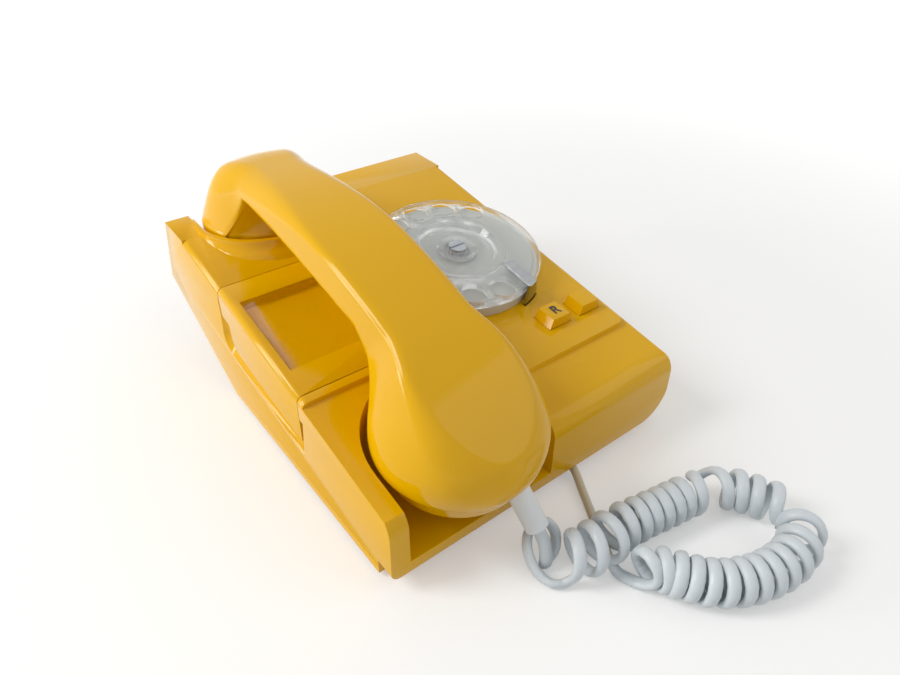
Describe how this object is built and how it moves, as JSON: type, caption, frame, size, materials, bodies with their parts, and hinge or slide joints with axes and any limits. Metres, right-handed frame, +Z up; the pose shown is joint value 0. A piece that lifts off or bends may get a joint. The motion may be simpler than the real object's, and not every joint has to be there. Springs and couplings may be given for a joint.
{
  "type": "rotary dial telephone",
  "caption": "Wedge-shaped desk telephone with a clear finger-wheel dial, a bridge handset along its left side, an index drawer, push buttons and a curly cord",
  "frame": {"origin": "below the middle of the telephone's box without its cord, on the surface that it stands on", "axes": "+X to the right for a user in front of the dial, +Y to the rear, +Z up"},
  "size_m": [0.1448, 0.2833, 0.101],
  "materials": {
    "housing": "glossy mustard-yellow moulded ABS",
    "dial_grey": "satin pale grey moulding",
    "clear_plastic": "clear polished acrylic",
    "window_plastic": "clear polished acrylic",
    "polished_steel": "polished",
    "screw_steel": "zinc plated",
    "bracket_steel": "zinc plated sheet",
    "spring_steel": "blued",
    "core_steel": "varnished laminations",
    "gear_brass": "satin",
    "gong_brass": "polished",
    "coil_copper": "lacquered winding",
    "cam_plastic": "satin",
    "phenolic": "satin",
    "circuit_board": "satin",
    "capacitor": "glossy dipped film",
    "switch_plastic": "satin",
    "capsule": "satin",
    "foot_rubber": "matte",
    "inlet_rubber": "matte",
    "sleeve_plastic": "satin off-white",
    "cord_sheath": "satin light blue-grey PVC",
    "tail_sheath": "satin cream PVC"
  },
  "bodies": {
    "root": {"top_housing": "housing", "base_plate": "housing", "rubber_feet": "foot_rubber", "housing_screws": "screw_steel", "line_cord_inlet": "inlet_rubber", "handset_cord_gland": "cord_sheath", "circuit_board": "circuit_board", "induction_coil": "core_steel", "ringing_capacitor": "capacitor", "terminal_block": "phenolic", "ringer_bracket": "bracket_steel", "ringer_coils": "coil_copper", "gong_left": "gong_brass", "gong_right": "gong_brass", "gong_screws": "screw_steel", "dial_case": "dial_grey", "number_plate": "dial_grey", "finger_stop": "polished_steel", "dial_bridge": "bracket_steel", "pulse_contacts": "phenolic", "mainspring": "spring_steel", "governor_cup": "gear_brass", "button_switches": "switch_plastic", "hook_bracket": "bracket_steel", "hook_contacts": "phenolic", "cord_tail_handset": "cord_sheath", "cord_coil": "cord_sheath", "cord_tail_body": "tail_sheath"},
    "finger_wheel": {"finger_wheel": "clear_plastic", "wheel_centre_cap": "clear_plastic", "hub_screw": "screw_steel", "main_shaft": "bracket_steel", "main_gear": "gear_brass", "pulse_cam": "cam_plastic"},
    "governor": {"governor_shaft": "bracket_steel", "governor_weights": "gear_brass"},
    "index_drawer": {"index_tray": "housing", "index_window": "window_plastic"},
    "recall_button": {"recall_button": "housing"},
    "second_button": {"second_button": "housing"},
    "handset": {"handset_shell": "housing", "handset_underside": "housing", "ear_cap": "housing", "mouth_cap": "housing", "receiver_capsule": "capsule", "transmitter_capsule": "capsule", "handset_screws": "screw_steel", "cord_sleeve": "sleeve_plastic"},
    "hook_plunger": {"hook_plunger": "switch_plastic"},
    "hook_lever": {"hook_lever": "bracket_steel"},
    "bell_clapper": {"bell_clapper": "bracket_steel"}
  },
  "joints": [
    {"name": "dial_spin", "type": "hinge", "parent": "root", "child": "finger_wheel", "pos_m": [0.0277, 0.0034, 0.05415], "axis": [0, -0.1913, 0.9815], "range_deg": [-323, 0], "stiffness_Nm_per_rad": 0.008, "springref_deg": 57.3},
    {"name": "governor_spin", "type": "hinge", "parent": "root", "child": "governor", "pos_m": [0.01738, -0.01107, 0.05133], "axis": [0, -0.1913, 0.9815], "range_deg": [-10, 1800]},
    {"name": "drawer_slide", "type": "slide", "parent": "root", "child": "index_drawer", "axis": [-1, 0, 0], "range_m": [0, 0.045]},
    {"name": "recall_press", "type": "slide", "parent": "root", "child": "recall_button", "axis": [0, 0.1232, -0.9924], "range_m": [0, 0.003], "stiffness_N_per_m": 300, "springref_m": -0.001},
    {"name": "second_press", "type": "slide", "parent": "root", "child": "second_button", "axis": [0, 0.1232, -0.9924], "range_m": [0, 0.003], "stiffness_N_per_m": 300, "springref_m": -0.001},
    {"name": "handset_lift", "type": "slide", "parent": "root", "child": "handset", "axis": [0, 0, 1], "range_m": [0, 0.07]},
    {"name": "plunger_travel", "type": "slide", "parent": "root", "child": "hook_plunger", "axis": [0, 0, 1], "range_m": [0, 0.0051]},
    {"name": "lever_turn", "type": "hinge", "parent": "root", "child": "hook_lever", "pos_m": [-0.0307, 0.0583, 0.036], "axis": [1, 0, 0], "range_deg": [0, 16]},
    {"name": "clapper_swing", "type": "hinge", "parent": "root", "child": "bell_clapper", "pos_m": [0.0365, 0.0463, 0.054], "axis": [0, 0, 1], "range_deg": [-3.5, 3.5]}
  ],
  "couplings": [
    {"joint": "governor_spin", "follows": "dial_spin", "ratio": -5},
    {"joint": "plunger_travel", "follows": "handset_lift", "ratio": 0.071429},
    {"joint": "lever_turn", "follows": "handset_lift", "rad_per_m": 3.915}
  ]
}
